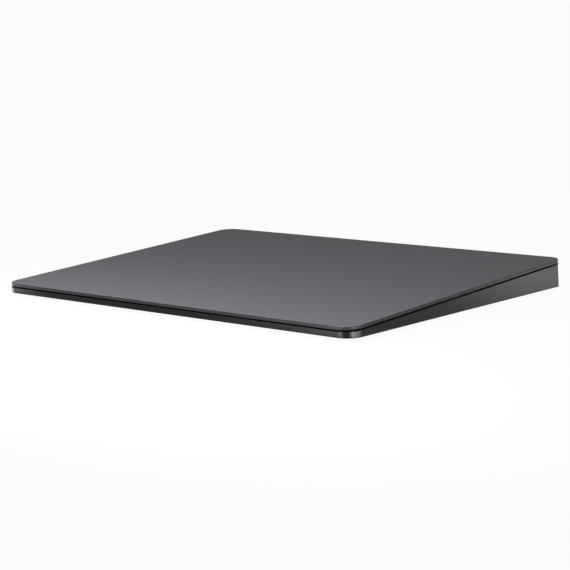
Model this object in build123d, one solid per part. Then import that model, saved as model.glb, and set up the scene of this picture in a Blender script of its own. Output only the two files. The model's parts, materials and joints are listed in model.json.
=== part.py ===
"""Wedge-shaped desk trackpad: a sprung glass touch plate on a thin metal case.

Millimetres, +Z up, +X to the user's right, +Y away from the user.
The origin is on the desk, under the centre of the case.
"""
from build123d import *
import math
import os

# Overall form
pad_width = 160.0
case_depth = 114.9              # front edge of the glass to the foot of the rear wall
front_height = 4.9              # desk to the top of the front edge
rear_height = 10.9              # desk to the top of the rear edge
corner_radius = 5.4
foot_standoff = 1.4             # desk to the underside of the case
cut_overrun = 1.0               # how far every cutting body runs past what it cuts

# Case frame
case_wall = 2.4
rim_lip = 0.8                   # width of the edge left standing round the inner ledge
rim_step = 0.5                  # height of that edge over the ledge
glass_gap = 0.45                # dark gap between the glass and the rim
lower_chamfer = 0.3
rim_chamfer = 0.12
seat_inset = 1.2                # side of the case to the edge of the base plate
seat_clearance = 0.05

# Base plate and feet
base_thickness = 0.8
base_glue_thickness = 0.1
base_edge_chamfer = 0.15
foot_radius = 4.5
foot_sink = 0.5                 # how deep a foot sits in its recess
foot_clearance = 0.05
foot_edge = 0.3
foot_side_distance = 14.0       # side of the case to the middle of a foot
foot_end_distance = 13.5        # front or rear of the case to the middle of a foot

# Glass and the layers under it
glass_thickness = 1.05
glass_inset = 0.1               # the case stands this far proud of the glass
glass_chamfer = 0.22
film_thickness = 0.1
film_inset = 0.6                # edge of the glass to the edge of the film
sensor_thickness = 0.6
sensor_clearance = 0.8          # inner side of the case wall to the sensor board
stiffener_thickness = 0.5
stiffener_side_gap = 13.0       # edge of the sensor board to the stiffener, at the sides
stiffener_end_gap = 3.0
layer_radius = 2.0
least_radius = 0.5              # no inset outline has a tighter corner
press_travel = 0.2
haptic_travel = 0.1

# Flexure springs, one near each corner
flexure_length = 18.0
flexure_width = 8.0
flexure_thickness = 0.35
flexure_root_length = 7.0
flexure_neck_width = 4.5
flexure_side_distance = 8.0     # side of the case to the root of a flexure
flexure_front_distance = 23.0   # front of the case to the middle of a front flexure
flexure_rear_distance = 13.0
gel_radius = 3.0
gel_thickness = 0.5
cap_margin = 0.4                # the cap is this much wider than the gel all round
cap_thickness = 0.15
gauge_length = 2.6
gauge_width = 3.2
gauge_thickness = 0.1
ribbon_thickness = 0.15         # every flat cable inside the case
ribbon_width = 2.4

# Screws
screw_radius = 0.75
screw_head_radius = 1.2
screw_head_height = 0.45
screw_drive_radius = 0.5
screw_drive_depth = 0.25
screw_drive_sides = 6
screw_engagement = 1.1
screw_clearance = 0.06
flexure_screw_spacing = 4.2

# Main board
board_width = 44.0
board_thickness = 0.8
board_front_y = 9.0
board_rear_gap = 1.8            # inner side of the rear wall to the board
board_standoff = 1.0
standoff_radius = 1.8
board_hole_inset = 2.6
part_gap = 0.3                  # between neighbours that only lie side by side
chip_height = 0.9
processor_side = 7.0
memory_length = 5.0
memory_width = 4.0
power_chip_side = 3.6
passive_side = 1.6
passive_rows = 4
half_share = 0.5                # of a larger neighbour's size
shield_length = 12.0
shield_width = 9.0
shield_height = 1.2
shield_wall = 0.2
shield_gap = 0.8                # processor to the radio shield
connector_length = 7.0
connector_width = 2.4
connector_height = 0.9

# Batteries
battery_side_distance = 8.0     # side of the case to a cell
battery_front_y = 2.0
battery_rear_gap = 1.5          # cell to the rear flexure
battery_board_width = 2.2
battery_board_gap = 1.8         # battery protection board to the main board
battery_board_share = 0.8       # of the cell's length
battery_swell_gap = 0.25
battery_glue_thickness = 0.15
battery_edge = 0.7
lead_width = 6.0
lead_thickness = 0.3
lead_overlap = 2.0

# Charging port, the standard oval form
port_opening_width = 8.34
port_opening_height = 2.56
port_shell_wall = 0.3
port_length = 7.5
port_case_clearance = 0.1
port_set_back = 0.1             # mouth of the shell behind the rear face
port_back_length = 1.4          # closed stretch behind the tongue
tongue_width = 6.69
tongue_thickness = 0.7
tongue_set_back = 0.9           # tip of the tongue behind the mouth
contact_count = 12
contact_pitch = 0.5
contact_width = 0.25
contact_thickness = 0.05
contact_length = 3.2
bracket_thickness = 0.3
bracket_length = 3.6
bracket_foot = 3.4
bracket_set_in = 3.6            # rear of the board to the middle of the bracket

# Power switch, in the rear wall
switch_side_distance = 28.0     # side of the case to the middle of the switch
bezel_width = 11.0
bezel_height = 4.4
bezel_clearance = 0.05
bezel_flange_ends = 1.4         # how far the flange reaches past the opening's ends, inside
bezel_flange_sides = 0.4        # and above and below it
bezel_flange_thickness = 0.6
recess_rim = 0.5                # width of the bezel's edge round the recess
recess_depth = 1.3
slider_clearance = 0.12
slider_travel = 3.0
slider_set_back = 0.1
slider_groove_count = 3
slider_groove_width = 0.35
slider_groove_depth = 0.2
slider_edge = 0.15
lever_width = 1.4
lever_height = 1.2
lever_engagement = 1.2          # how far the lever reaches into the switch body
switch_body_width = 9.0
switch_body_height = 3.8
switch_body_depth = 3.4
indicator_thickness = 0.1

# Antenna
antenna_length = 30.0
antenna_height = 3.6
antenna_thickness = 0.6
antenna_contact_inset = 7.6     # side of the main board to the middle of the contact

# Haptic actuator
actuator_y = -10.0
pole_x = 7.0                    # pole faces of the core
tray_length = 46.0
tray_width = 20.0
tray_thickness = 0.4
tray_screw_inset = 2.0
core_height = 1.4
core_spine = 4.0
core_leg_length = 12.0
core_leg_width = 2.5
core_slot_width = 3.0
coil_gap = 0.15                 # coil to the core's slot and to the base plate
pole_clearance = 0.3            # poles to the attraction plate at the end of its travel
attraction_thickness = 2.0
attraction_flange = 4.6
attraction_flange_thickness = 0.5
rivet_radius = 0.8
rivet_head_radius = 1.3
rivet_head_height = 0.25
rivet_spacing = 6.0
clear_under = 0.2               # room left under what moves down with the pad

# Touch electronics on the underside of the sensor board
touch_window_width = 34.0
touch_window_length = 24.0
touch_window_lead = 7.0         # touch connector to the middle of the window
touch_chip_side = 7.5
touch_chip_height = 0.8
touch_small_side = 2.2
touch_small_columns = 3
touch_small_rows = 2
touch_connector_gap = 10.0      # processor to the middle of the touch connector
touch_connector_x = -9.0
touch_connector_height = 0.7
touch_ribbon_width = 6.0
touch_ribbon_bend = 0.6
touch_ribbon_reach = 3.0        # connectors to the far side of the fold

# The sloping top, from the heights and the depth. The walls stand square to it, so the
# rear wall's foot lies further back than its head.
rear_wall_height = rear_height - foot_standoff
rise = rear_height - front_height
slope = (case_depth - math.sqrt(case_depth**2 - 4 * rear_wall_height * rise)) / (2 * rear_wall_height)
tilt = math.atan(slope)
pad_length = rise / math.sin(tilt)
along = Vector(0, math.cos(tilt), math.sin(tilt))
normal = Vector(0, -math.sin(tilt), math.cos(tilt))
top_centre = Vector(0, (pad_length * math.cos(tilt) - case_depth) / 2, (front_height + rear_height) / 2)

# Depths under the top face, square to it
rim_depth = glass_thickness + glass_gap
ledge_depth = rim_depth + rim_step
film_bottom = glass_thickness + film_thickness
sensor_bottom = film_bottom + sensor_thickness
stiffener_bottom = sensor_bottom + stiffener_thickness
cap_bottom = stiffener_bottom + cap_thickness
flexure_top = cap_bottom + gel_thickness
flexure_bottom = flexure_top + flexure_thickness
case_reach = rear_height + cut_overrun

# Heights over the desk
floor_z = foot_standoff + base_thickness
board_bottom = floor_z + board_standoff
board_top = board_bottom + board_thickness
tray_top = floor_z + tray_thickness
shell_width = port_opening_width + 2 * port_shell_wall
shell_height = port_opening_height + 2 * port_shell_wall
port_z = board_top + shell_height / 2

CORNERS = {
    "front_left": (-1, flexure_front_distance - pad_length / 2, -1),
    "front_right": (1, flexure_front_distance - pad_length / 2, -1),
    "rear_left": (-1, pad_length / 2 - flexure_rear_distance, 1),
    "rear_right": (1, pad_length / 2 - flexure_rear_distance, 1),
}


def place_y(station, depth):
    """Row Y of a point at a station up the slope and a depth under the top face."""
    return top_centre.Y + station * math.cos(tilt) + depth * math.sin(tilt)


def station_at(y, depth):
    """Station up the slope of a point at row Y and a depth under the top face."""
    return (y - top_centre.Y - depth * math.sin(tilt)) / math.cos(tilt)


def height_at(y, depth):
    """Height over the desk of the sloping plane at a depth under the top face, at row Y."""
    return top_centre.Z + (y - top_centre.Y) * slope - depth / math.cos(tilt)


inner_rear_y = place_y(pad_length / 2 - case_wall, rear_wall_height / 2)
board_rear_y = inner_rear_y - board_rear_gap
shield_y = board_rear_y - 2 * board_hole_inset - shield_width / 2
processor_y = shield_y - (shield_width + processor_side) / 2 - shield_gap
touch_connector_y = processor_y - processor_side / 2 - touch_connector_gap
touch_window_y = touch_connector_y + touch_window_lead
antenna_contact_x = board_width / 2 - antenna_contact_inset
antenna_x = antenna_contact_x + antenna_length / 2 - connector_width
switch_x = switch_side_distance - pad_width / 2
battery_rear_y = place_y(CORNERS["rear_left"][1] - flexure_width / 2, flexure_bottom) - battery_rear_gap
battery_bottom = floor_z + battery_glue_thickness
battery_top = height_at(battery_front_y, stiffener_bottom + press_travel) - battery_swell_gap
battery_outer_x = pad_width / 2 - battery_side_distance
battery_inner_x = board_width / 2 + battery_board_gap + battery_board_width
flexure_root_x = pad_width / 2 - flexure_side_distance
gel_x = flexure_root_x - flexure_length + gel_radius + cap_margin
switch_depth = (rim_depth + rear_wall_height) / 2
recess_width = bezel_width - 2 * recess_rim
recess_height = bezel_height - 2 * recess_rim
slider_height = recess_height - 2 * slider_clearance
slider_width = recess_width - slider_travel - 2 * slider_clearance
slider_off_x = switch_x - slider_travel / 2
lever_slot_width = lever_width + slider_travel + 2 * slider_clearance
lever_slot_height = lever_height + 2 * slider_clearance
core_depth = 4 * core_leg_width + 2 * core_slot_width
coil_x = pole_x - core_leg_length / 2
air_gap = pole_clearance + haptic_travel


def pad_plane(depth, station=0, x=0):
    """Plane parallel to the top face, at a depth under it, with its normal up."""
    return Plane(origin=top_centre - normal * depth + along * station + Vector(x, 0, 0),
                 x_dir=(1, 0, 0), z_dir=normal)


def slab(sketch, top, bottom, station=0, x=0):
    """Sketch made solid between two depths under the top face."""
    return extrude(pad_plane(bottom, station, x) * sketch, bottom - top)


def plate(sketch, low, high, x=0, y=0):
    """Sketch made solid between two heights over the desk."""
    return extrude(Plane((x, y, low)) * sketch, high - low)


def wall_piece(sketch, near, far, x, depth):
    """Sketch on the rear wall made solid between two distances inward of its outer face."""
    origin = top_centre + along * (pad_length / 2 - far) - normal * depth + Vector(x, 0, 0)
    return extrude(Plane(origin=origin, x_dir=(1, 0, 0), z_dir=along) * sketch, far - near)


def above_level(shape, low):
    """What of a shape lies over a height."""
    return shape - plate(Rectangle(2 * pad_width, 2 * case_depth), low - case_depth, low)


def case_outline(inset):
    """Outline of the case in the sloping plane, drawn in by an inset."""
    radius = max(corner_radius - inset, least_radius)
    return RectangleRounded(pad_width - 2 * inset, pad_length - 2 * inset, radius)


def base_outline(inset):
    """Outline of the case's underside, level, drawn in by an inset."""
    radius = max(corner_radius - inset, least_radius)
    return RectangleRounded(pad_width - 2 * inset, pad_length / math.cos(tilt) - 2 * inset, radius)


def base_piece(inset, low, high):
    """Plate with the outline of the case's underside, between two heights."""
    middle = top_centre.Y + (top_centre.Z - foot_standoff) * slope
    return plate(base_outline(inset), low, high, y=middle)


def screw(head_plane, reach):
    """Round-headed screw with a recess for its driver. The head stands on the plane."""
    body = extrude(head_plane * Circle(screw_head_radius), screw_head_height)
    body += extrude(head_plane * Circle(screw_radius), -reach)
    recess = head_plane.offset(screw_head_height - screw_drive_depth)
    drive = RegularPolygon(screw_drive_radius, screw_drive_sides)
    return body - extrude(recess * drive, screw_drive_depth + cut_overrun)


def screw_hole(head_plane, reach):
    """Hole that clears a screw's shank."""
    start = head_plane.offset(-reach - screw_clearance)
    return extrude(start * Circle(screw_radius + screw_clearance), reach + screw_clearance + cut_overrun)


def foot_places():
    """Name and middle of each foot."""
    middle = top_centre.Y + (top_centre.Z - foot_standoff) * slope
    side = pad_width / 2 - foot_side_distance
    end = pad_length / 2 - foot_end_distance
    return {name: (sign * side, middle + row * end) for name, (sign, _, row) in CORNERS.items()}


def flexure_screw_planes(name):
    """Planes on top of a flexure's root, one for each of its screws."""
    sign, station, _ = CORNERS[name]
    x = sign * (flexure_root_x - flexure_root_length / 2)
    steps = (-flexure_screw_spacing / 2, flexure_screw_spacing / 2)
    return [pad_plane(flexure_top, station + step, x) for step in steps]


def board_hole_places():
    """Middles of the main board's screws."""
    side = board_width / 2 - board_hole_inset
    rows = (board_front_y + board_hole_inset, board_rear_y - board_hole_inset)
    return [(sign * side, y) for sign in (-1, 1) for y in rows]


def tray_hole_places():
    """Middles of the actuator tray's screws."""
    side = tray_length / 2 - tray_screw_inset
    row = tray_width / 2 - tray_screw_inset
    return [(sign * side, actuator_y + end * row) for sign in (-1, 1) for end in (-1, 1)]


def oval(width, height):
    """Shape with straight sides and half-round ends."""
    return SlotOverall(width, height)


# Case

def make_case_frame():
    """Wedge-shaped wall, open above for the pad and below for the base plate."""
    frame = above_level(slab(case_outline(0), rim_depth, case_reach), foot_standoff)
    underside = frame.faces().sort_by(Axis.Z)[0]
    frame = chamfer(underside.edges(), lower_chamfer)
    rim = frame.faces().sort_by(Axis(origin=top_centre, direction=normal))[-1]
    frame = chamfer(rim.edges(), rim_chamfer)
    frame -= slab(case_outline(rim_lip), rim_depth - cut_overrun, ledge_depth)
    frame -= slab(case_outline(case_wall), rim_depth - cut_overrun, case_reach)
    frame -= base_piece(seat_inset, foot_standoff - cut_overrun, floor_z + base_glue_thickness)
    port = oval(shell_width + 2 * port_case_clearance, shell_height + 2 * port_case_clearance)
    port_cut = Plane((0, inner_rear_y - case_wall, port_z), x_dir=(-1, 0, 0), z_dir=(0, 1, 0)) * port
    frame -= extrude(port_cut, 3 * case_wall)
    frame -= wall_piece(oval(bezel_width, bezel_height), -cut_overrun, case_wall + cut_overrun,
                        switch_x, switch_depth)
    return frame


def make_base_plate():
    """Flat cover under the case, with a recess for each foot and bosses for what it carries."""
    base = base_piece(seat_inset + seat_clearance, foot_standoff, floor_z)
    underside = base.faces().sort_by(Axis.Z)[0]
    base = chamfer(underside.outer_wire().edges(), base_edge_chamfer)
    for x, y in foot_places().values():
        recess = Circle(foot_radius + foot_clearance)
        base -= plate(recess, foot_standoff - cut_overrun, foot_standoff + foot_sink, x, y)
    for sign, station, _ in CORNERS.values():
        x = sign * (flexure_root_x - flexure_root_length / 2)
        boss = Rectangle(flexure_root_length, flexure_width)
        base += above_level(slab(boss, flexure_bottom, case_reach, station, x), foot_standoff + foot_sink)
    for x, y in board_hole_places():
        base += plate(Circle(standoff_radius), floor_z, board_bottom, x, y)
        base -= screw_hole(Plane((x, y, board_top)), board_thickness + screw_engagement)
    for x, y in tray_hole_places():
        base -= screw_hole(Plane((x, y, tray_top)), tray_thickness + foot_sink)
    for name in CORNERS:
        for head_plane in flexure_screw_planes(name):
            base -= screw_hole(head_plane, flexure_thickness + screw_engagement)
    return base


def make_base_glue():
    """Thin ring of adhesive between the base plate and the case."""
    ring = base_piece(seat_inset + seat_clearance, floor_z, floor_z + base_glue_thickness)
    ring -= base_piece(case_wall, floor_z - cut_overrun, floor_z + base_glue_thickness + cut_overrun)
    middle = slab(case_outline(case_wall), rim_depth, case_reach)
    return ring - middle


def make_foot(x, y):
    """Round rubber foot, sunk into the base plate."""
    foot = plate(Circle(foot_radius), 0, foot_standoff + foot_sink, x, y)
    return fillet(foot.edges().sort_by(Axis.Z)[0], foot_edge)


# Flexure springs and what stands on them

def make_flexure(name):
    """Flat leaf: a wide root with two screw holes, a neck and a round tip."""
    sign, station, _ = CORNERS[name]
    root_x = flexure_root_x - flexure_root_length / 2
    neck_length = flexure_root_x - gel_x
    leaf = Pos(sign * root_x, 0) * Rectangle(flexure_root_length, flexure_width)
    leaf += Pos(sign * (gel_x + neck_length / 2), 0) * Rectangle(neck_length, flexure_neck_width)
    leaf += Pos(sign * gel_x, 0) * Circle(gel_radius + cap_margin)
    spring = slab(leaf, flexure_top, flexure_bottom, station)
    for head_plane in flexure_screw_planes(name):
        spring -= screw_hole(head_plane, flexure_thickness + screw_engagement)
    return spring


def make_gel_pad(name):
    """Soft disc between a flexure's tip and the cap over it."""
    sign, station, _ = CORNERS[name]
    return slab(Circle(gel_radius), cap_bottom, flexure_top, station, sign * gel_x)


def make_isolator_cap(name):
    """Thin metal disc that joins a gel pad to the pad's stiffener."""
    sign, station, _ = CORNERS[name]
    return slab(Circle(gel_radius + cap_margin), stiffener_bottom, cap_bottom, station, sign * gel_x)


def make_flexure_screws():
    """Two screws for each flexure."""
    reach = flexure_thickness + screw_engagement
    return [screw(head_plane, reach) for name in CORNERS for head_plane in flexure_screw_planes(name)]


def gauge_middle_x():
    """Distance of a strain gauge from the middle of the pad."""
    return flexure_root_x - flexure_root_length - ribbon_thickness - gauge_length / 2


def make_strain_gauges():
    """Thin gauge under the neck of each flexure, beside its boss."""
    gauge = Rectangle(gauge_length, gauge_width)
    return [slab(gauge, flexure_bottom, flexure_bottom + gauge_thickness, station, sign * gauge_middle_x())
            for sign, station, _ in CORNERS.values()]


def make_gauge_cables():
    """Flat cable from each strain gauge, down its boss and over the base plate to the main board."""
    cables = []
    boss_x = flexure_root_x - flexure_root_length
    lane_x = board_width / 2 + part_gap + ribbon_width / 2
    for sign, station, row in CORNERS.values():
        y = place_y(station, flexure_bottom)
        run_length = boss_x - lane_x + ribbon_width / 2
        run = Rectangle(run_length, ribbon_width)
        cable = plate(run, floor_z, floor_z + ribbon_thickness, sign * (boss_x - run_length / 2), y)
        riser = Rectangle(ribbon_thickness, ribbon_width)
        rise_top = slab(riser, flexure_bottom, case_reach, station, sign * (boss_x - ribbon_thickness / 2))
        cable += above_level(rise_top, floor_z)
        cables.append(cable)
    return cables


# Batteries

def make_battery(sign):
    """Flat cell with rounded long edges."""
    length = battery_rear_y - battery_front_y
    width = battery_outer_x - battery_inner_x
    cell = plate(Rectangle(width, length), battery_bottom, battery_top,
                 sign * (battery_outer_x - width / 2), battery_front_y + length / 2)
    return fillet(cell.edges().filter_by(Axis.Y), battery_edge)


def make_battery_glue():
    """Sheet of adhesive under each cell."""
    length = battery_rear_y - battery_front_y
    width = battery_outer_x - battery_inner_x
    sheet = Rectangle(width - 2 * battery_edge, length - 2 * battery_edge)
    return [plate(sheet, floor_z, battery_bottom, sign * (battery_outer_x - width / 2),
                  battery_front_y + length / 2) for sign in (-1, 1)]


def make_battery_boards():
    """Narrow protection board along the inner edge of each cell."""
    length = (battery_rear_y - battery_front_y) * battery_board_share
    y = (battery_rear_y + battery_front_y) / 2
    strip = Rectangle(battery_board_width, length)
    return [plate(strip, floor_z, board_top, sign * (battery_inner_x - battery_board_width / 2), y)
            for sign in (-1, 1)]


def make_battery_leads():
    """Flat lead from each protection board onto the main board."""
    width = battery_board_width + battery_board_gap + lead_overlap
    y = (battery_rear_y + battery_front_y) / 2
    lead = Rectangle(width, lead_width)
    return [plate(lead, board_top, board_top + lead_thickness, sign * (battery_inner_x - width / 2), y)
            for sign in (-1, 1)]


# Main board

def make_main_board():
    """Circuit board on four standoffs, behind the middle of the pad."""
    length = board_rear_y - board_front_y
    board = plate(Rectangle(board_width, length), board_bottom, board_top, y=board_front_y + length / 2)
    for x, y in board_hole_places():
        board -= screw_hole(Plane((x, y, board_top)), board_thickness)
    for x, y in bracket_screw_places():
        board -= screw_hole(Plane((x, y, board_top)), board_thickness)
    return board


def make_board_screws():
    """Screws at the corners of the main board."""
    return [screw(Plane((x, y, board_top)), board_thickness + screw_engagement)
            for x, y in board_hole_places()]


def chip(width, length, x, y, height=chip_height):
    """Flat packaged part on the main board."""
    return plate(Rectangle(width, length), board_top, board_top + height, x, y)


def make_board_chips():
    """Processor, memory, power chips and a row of small parts."""
    chips = [chip(processor_side, processor_side, 0, processor_y)]
    memory_x = (processor_side + memory_width) / 2 + part_gap
    chips.append(chip(memory_width, memory_length, memory_x, processor_y))
    power_x = memory_x + (memory_width + power_chip_side) / 2 + part_gap
    chips.append(chip(power_chip_side, power_chip_side, power_x, processor_y))
    small_x = processor_side / 2 + part_gap + passive_side / 2
    small_length = passive_side * half_share
    small_height = chip_height * half_share
    for step in range(passive_rows):
        small_y = processor_y + (step - (passive_rows - 1) / 2) * (passive_side + part_gap)
        for x in (-small_x, -small_x - passive_side - part_gap):
            chips.append(chip(passive_side, small_length, x, small_y, small_height))
    return chips


def shield_middle():
    """Middle of the radio shield, behind the right-hand end of the board."""
    return board_width / 2 - part_gap - shield_length / 2, shield_y


def make_radio_shield():
    """Open-bottomed metal can over the radio."""
    x, y = shield_middle()
    can = plate(Rectangle(shield_length, shield_width), board_top, board_top + shield_height, x, y)
    hollow = Rectangle(shield_length - 2 * shield_wall, shield_width - 2 * shield_wall)
    return can - plate(hollow, board_top - cut_overrun, board_top + shield_height - shield_wall, x, y)


def make_radio_chip():
    """Radio under its shield."""
    x, y = shield_middle()
    side = shield_width - 2 * shield_wall - 2 * part_gap
    return chip(side, side, x, y, shield_height - shield_wall - part_gap)


def make_board_connectors():
    """Sockets for the touch ribbon and the switch cable."""
    socket = Rectangle(connector_length, connector_width)
    top = board_top + connector_height
    touch = plate(socket, board_top, top, touch_connector_x, touch_connector_y)
    switch = plate(socket, board_top, top, -board_width / 2 + connector_length / 2 + part_gap,
                   board_rear_y - 2 * board_hole_inset - connector_width / 2)
    return [touch, switch]


def make_antenna_board():
    """Thin upright board stuck to the inner side of the rear wall."""
    board = Rectangle(antenna_length, antenna_height)
    return wall_piece(board, case_wall, case_wall + antenna_thickness, antenna_x, switch_depth)


def make_antenna_contact():
    """Spring clip from the main board to the antenna board: a foot and an upright tongue."""
    front_y = board_rear_y - connector_width
    face = wall_piece(Rectangle(connector_width, antenna_height), case_wall + antenna_thickness,
                      case_wall + antenna_thickness + lead_thickness, antenna_contact_x, switch_depth)
    reach = inner_rear_y - front_y
    strip = Rectangle(connector_width, reach)
    foot = plate(strip, board_top, board_top + lead_thickness, antenna_contact_x, front_y + reach / 2)
    blocked = wall_piece(Rectangle(antenna_length, rear_height), -case_wall,
                         case_wall + antenna_thickness, antenna_contact_x, switch_depth)
    return (face + foot) - blocked


# Charging port

def port_piece(sketch, near, far):
    """Sketch on the port's axis made solid between two distances inward of its mouth."""
    plane = Plane((0, port_mouth_y() - far, port_z), x_dir=(-1, 0, 0), z_dir=(0, 1, 0))
    return extrude(plane * sketch, far - near)


def port_mouth_y():
    """Row Y of the port's mouth, just behind the rear wall's face at the top of the port."""
    depth_at_port = (rear_height - port_z - shell_height / 2) / math.cos(tilt)
    return place_y(pad_length / 2, depth_at_port) - port_set_back


def make_port_shell():
    """Oval metal tube of the charging port."""
    shell = port_piece(oval(shell_width, shell_height), 0, port_length)
    return shell - port_piece(oval(port_opening_width, port_opening_height), -cut_overrun,
                              port_length + cut_overrun)


def make_port_core():
    """Block that closes the shell, with the tongue that carries the contacts."""
    back = oval(port_opening_width, port_opening_height)
    core = port_piece(back, port_length - port_back_length, port_length)
    tongue = Rectangle(tongue_width, tongue_thickness)
    return core + port_piece(tongue, tongue_set_back, port_length - port_back_length)


def make_port_contacts():
    """Two rows of contacts, on the upper and lower side of the tongue."""
    contacts = []
    for side in (-1, 1):
        for step in range(contact_count):
            x = (step - (contact_count - 1) / 2) * contact_pitch
            z = side * (tongue_thickness + contact_thickness) / 2
            strip = Pos(x, z) * Rectangle(contact_width, contact_thickness)
            start = tongue_set_back + contact_thickness
            contacts.append(port_piece(strip, start, start + contact_length))
    return contacts


def bracket_middle_y():
    """Row Y of the middle of the port's bracket."""
    return board_rear_y - bracket_set_in


def bracket_screw_places():
    """Middles of the bracket's screws."""
    x = shell_width / 2 + bracket_thickness + bracket_foot / 2
    return [(sign * x, bracket_middle_y()) for sign in (-1, 1)]


def make_bracket_screws():
    """Screws through the bracket's feet into the main board."""
    return [screw(Plane((x, y, board_top + bracket_thickness)), bracket_thickness + board_thickness)
            for x, y in bracket_screw_places()]


def make_port_bracket():
    """Strap over the port's shell, with a foot on the board at each side."""
    y = bracket_middle_y()
    strap_plane = Plane((0, y - bracket_length / 2, port_z), x_dir=(-1, 0, 0), z_dir=(0, 1, 0))
    outer_width = shell_width + 2 * bracket_thickness
    outer_height = shell_height + 2 * bracket_thickness
    strap = above_level(extrude(strap_plane * oval(outer_width, outer_height), bracket_length), port_z)
    strap += plate(Rectangle(outer_width, bracket_length), board_top, port_z, 0, y)
    strap += plate(Rectangle(outer_width + 2 * bracket_foot, bracket_length), board_top,
                   board_top + bracket_thickness, 0, y)
    strap -= extrude(strap_plane.offset(-cut_overrun) * oval(shell_width, shell_height),
                     bracket_length + 2 * cut_overrun)
    strap -= plate(Rectangle(shell_width, bracket_length + 2 * cut_overrun), board_top - cut_overrun,
                   port_z, 0, y)
    for x, y in bracket_screw_places():
        seat = Plane((x, y, board_top + bracket_thickness))
        strap -= screw_hole(seat, bracket_thickness + board_thickness)
    return strap


# Power switch

def make_switch_bezel():
    """Plastic insert in the rear wall, with an oval recess and a slot for the lever."""
    insert = wall_piece(oval(bezel_width - 2 * bezel_clearance, bezel_height - 2 * bezel_clearance),
                        slider_set_back, case_wall, switch_x, switch_depth)
    flange = oval(bezel_width + 2 * bezel_flange_ends, bezel_height + 2 * bezel_flange_sides)
    insert += wall_piece(flange, case_wall, case_wall + bezel_flange_thickness, switch_x, switch_depth)
    recess = oval(recess_width, recess_height)
    insert -= wall_piece(recess, -cut_overrun, recess_depth, switch_x, switch_depth)
    lever_slot = Rectangle(lever_slot_width, lever_slot_height)
    through = case_wall + bezel_flange_thickness + cut_overrun
    return insert - wall_piece(lever_slot, 0, through, switch_x, switch_depth)


def make_switch_slider():
    """Ribbed slider with a lever that reaches through the bezel."""
    near = slider_set_back + slider_edge
    far = recess_depth - indicator_thickness - slider_clearance
    slider = wall_piece(oval(slider_width, slider_height), near, far, slider_off_x, switch_depth)
    outer_face = slider.faces().sort_by(Axis.Y)[-1]
    slider = chamfer(outer_face.edges(), slider_edge)
    for step in range(slider_groove_count):
        x = slider_off_x + (step - (slider_groove_count - 1) / 2) * 2 * slider_groove_width
        groove = Rectangle(slider_groove_width, slider_height * half_share)
        slider -= wall_piece(groove, -cut_overrun, near + slider_groove_depth, x, switch_depth)
    lever = Rectangle(lever_width, lever_height)
    reach = case_wall + bezel_flange_thickness + lever_engagement
    return slider + wall_piece(lever, far, reach, slider_off_x, switch_depth)


def make_switch_indicator():
    """Coloured film on the floor of the recess, uncovered when the slider moves over."""
    length = (recess_width - lever_width - slider_travel) / 2 - 2 * slider_clearance
    film = Rectangle(length, recess_height * half_share)
    x = switch_x - recess_width / 2 + length / 2 + slider_clearance
    kept = wall_piece(oval(recess_width, recess_height), 0, case_wall, switch_x, switch_depth)
    return kept & wall_piece(film, recess_depth - indicator_thickness, recess_depth, x, switch_depth)


def make_switch_body():
    """Electrical part of the switch, stuck to the bezel's flange, with a slot for the lever."""
    near = case_wall + bezel_flange_thickness
    body = wall_piece(Rectangle(switch_body_width, switch_body_height), near, near + switch_body_depth,
                      switch_x, switch_depth)
    slot = Rectangle(lever_slot_width, lever_slot_height)
    return body - wall_piece(slot, near - cut_overrun, near + lever_engagement + slider_clearance,
                             switch_x, switch_depth)


def make_switch_cable():
    """Flat cable from the switch down to the base plate, along it and up to the main board."""
    station = pad_length / 2 - case_wall - bezel_flange_thickness - switch_body_depth / 2
    body_low = switch_depth + switch_body_height / 2
    y = place_y(station, body_low)
    far_x = -board_width / 2 + part_gap + ribbon_thickness
    run = Rectangle(far_x - switch_x, ribbon_width)
    cable = plate(run, floor_z, floor_z + ribbon_thickness, (far_x + switch_x) / 2, y)
    riser = Rectangle(ribbon_thickness, ribbon_width)
    cable += plate(riser, floor_z, board_bottom, far_x - ribbon_thickness / 2, y)
    upright = slab(riser, body_low, case_reach, station, switch_x + ribbon_thickness / 2)
    return cable + above_level(upright, floor_z)


# Haptic actuator

def make_haptic_tray():
    """Steel tray on the base plate, cut away under the coil."""
    tray = plate(Rectangle(tray_length, tray_width), floor_z, tray_top, y=actuator_y)
    window = Rectangle(core_leg_length, 2 * core_leg_width + 2 * core_slot_width)
    tray -= plate(window, floor_z - cut_overrun, tray_top + cut_overrun, coil_x, actuator_y)
    for x, y in tray_hole_places():
        tray -= screw_hole(Plane((x, y, tray_top)), tray_thickness)
    return tray


def make_haptic_screws():
    """Screws at the corners of the actuator tray."""
    return [screw(Plane((x, y, tray_top)), tray_thickness + foot_sink) for x, y in tray_hole_places()]


def make_haptic_core():
    """Iron core: a spine and three legs that point at the attraction plate."""
    length = core_spine + core_leg_length
    block = Rectangle(length, core_depth)
    core = plate(block, tray_top, tray_top + core_height, pole_x - length / 2, actuator_y)
    for side in (-1, 1):
        y = actuator_y + side * (core_leg_width + core_slot_width / 2)
        slot = Rectangle(core_leg_length + cut_overrun, core_slot_width)
        core -= plate(slot, tray_top - cut_overrun, tray_top + core_height + cut_overrun,
                      pole_x - (core_leg_length - cut_overrun) / 2, y)
    return core


def make_haptic_coil():
    """Coil round the middle leg of the core."""
    length = core_leg_length - 2 * coil_gap
    build = core_slot_width - 2 * coil_gap
    winding = Rectangle(length, 2 * core_leg_width + 2 * build)
    low = floor_z + coil_gap
    high = tray_top + core_height + tray_thickness - coil_gap
    coil = plate(winding, low, high, coil_x, actuator_y)
    leg = Rectangle(length + cut_overrun, 2 * core_leg_width)
    coil = fillet(coil.edges().filter_by(Axis.X), coil_gap)
    return coil - plate(leg, tray_top, tray_top + core_height, coil_x, actuator_y)


def attraction_station():
    """Station of the attraction plate's middle."""
    return station_at(actuator_y, stiffener_bottom)


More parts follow.
